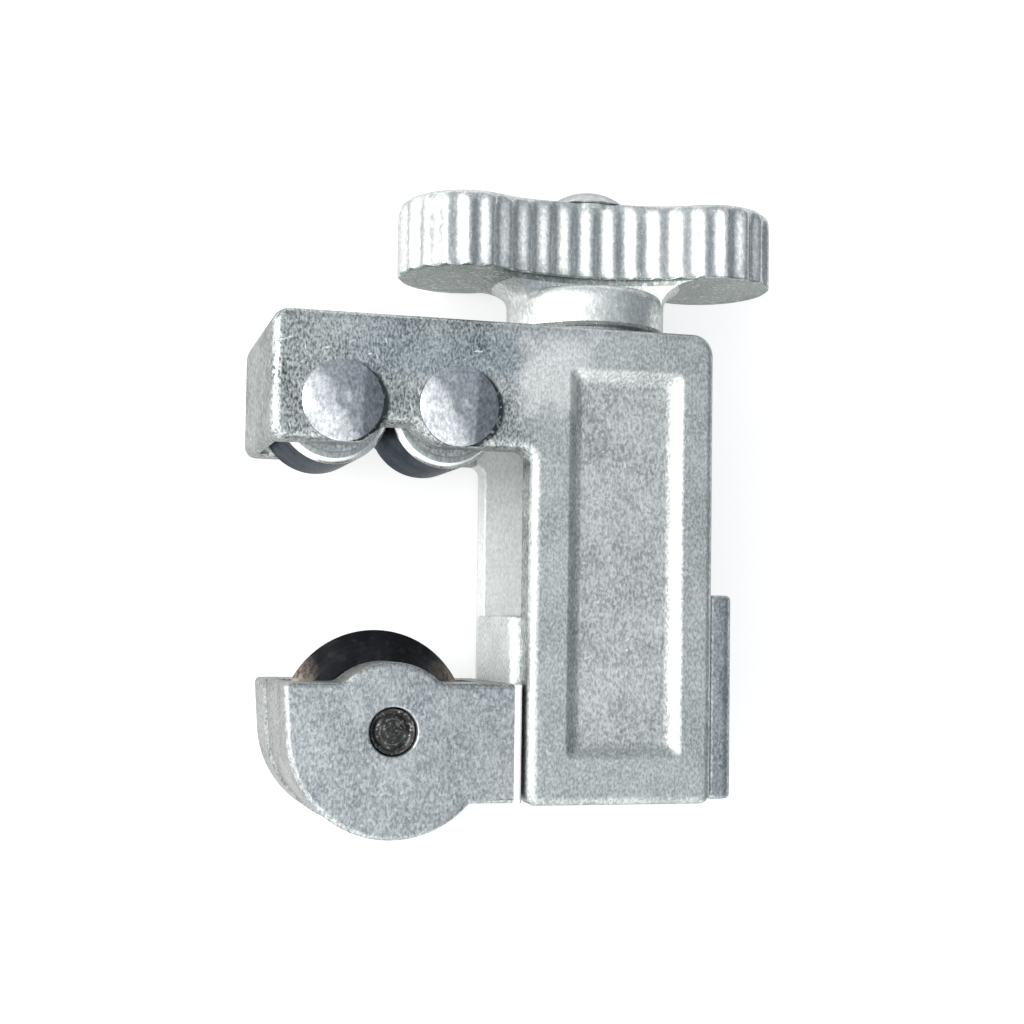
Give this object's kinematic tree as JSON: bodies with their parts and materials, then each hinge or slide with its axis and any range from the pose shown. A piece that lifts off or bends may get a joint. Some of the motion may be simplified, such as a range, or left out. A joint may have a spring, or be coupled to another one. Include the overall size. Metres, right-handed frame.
{
  "type": "mini tube cutter",
  "caption": "Compact screw-feed cutter for small metal tubes: cast frame, rollers, a sliding jaw with a cutting wheel and a fluted wing knob.",
  "frame": {"origin": "on the flat back face, behind the feed screw's axis, at half of the frame's height", "axes": "+Z out of the front face towards the viewer, +Y along the feed screw towards the knob, +X from the throat towards the rear of the column"},
  "size_m": [0.0495, 0.0604, 0.0193],
  "materials": {
    "cast_body": "satin plated zinc casting with fine grain",
    "cast_knob": "satin plated zinc casting, fluted rim",
    "bright_steel": "satin, formed",
    "roller_steel": "turned, slightly blued",
    "wheel_steel": "black oxide, ground bevel",
    "pin_steel": "black oxide, rough sheared end",
    "washer_steel": "plain stamped",
    "clip_steel": "dark spring steel"
  },
  "bodies": {
    "frame": {"frame": "cast_body", "roller_rivet_left": "bright_steel", "roller_rivet_right": "bright_steel", "roller_washers_left": "washer_steel", "roller_washers_right": "washer_steel", "thrust_washer": "washer_steel", "clip_washer": "washer_steel"},
    "knob": {"knob": "cast_knob", "feed_screw": "bright_steel", "retaining_clip": "clip_steel", "screw_stop": "washer_steel"},
    "jaw": {"jaw": "cast_body", "wheel_pin": "pin_steel", "wheel_washer_front": "washer_steel", "wheel_washer_back": "washer_steel"},
    "cutter_wheel": {"cutter_wheel": "wheel_steel"},
    "roller_left": {"roller_left": "roller_steel"},
    "roller_right": {"roller_right": "roller_steel"}
  },
  "joints": [
    {"name": "knob_turn", "type": "hinge", "parent": "frame", "child": "knob", "pos_m": [0, 0.0165, 0.009], "axis": [0, -1, 0], "range_deg": [-685, 5221]},
    {"name": "jaw_slide", "type": "slide", "parent": "frame", "child": "jaw", "axis": [0, 1, 0], "range_m": [-0.0019, 0.0145]},
    {"name": "wheel_spin", "type": "hinge", "parent": "jaw", "child": "cutter_wheel", "pos_m": [-0.02005, -0.01495, 0.009], "axis": [0, 0, 1], "continuous": true},
    {"name": "roller_left_spin", "type": "hinge", "parent": "frame", "child": "roller_left", "pos_m": [-0.02525, 0.0136, 0.009], "axis": [0, 0, 1], "continuous": true},
    {"name": "roller_right_spin", "type": "hinge", "parent": "frame", "child": "roller_right", "pos_m": [-0.01485, 0.0136, 0.009], "axis": [0, 0, 1], "continuous": true}
  ],
  "couplings": [
    {"joint": "knob_turn", "follows": "jaw_slide", "rad_per_m": 6283.2}
  ]
}
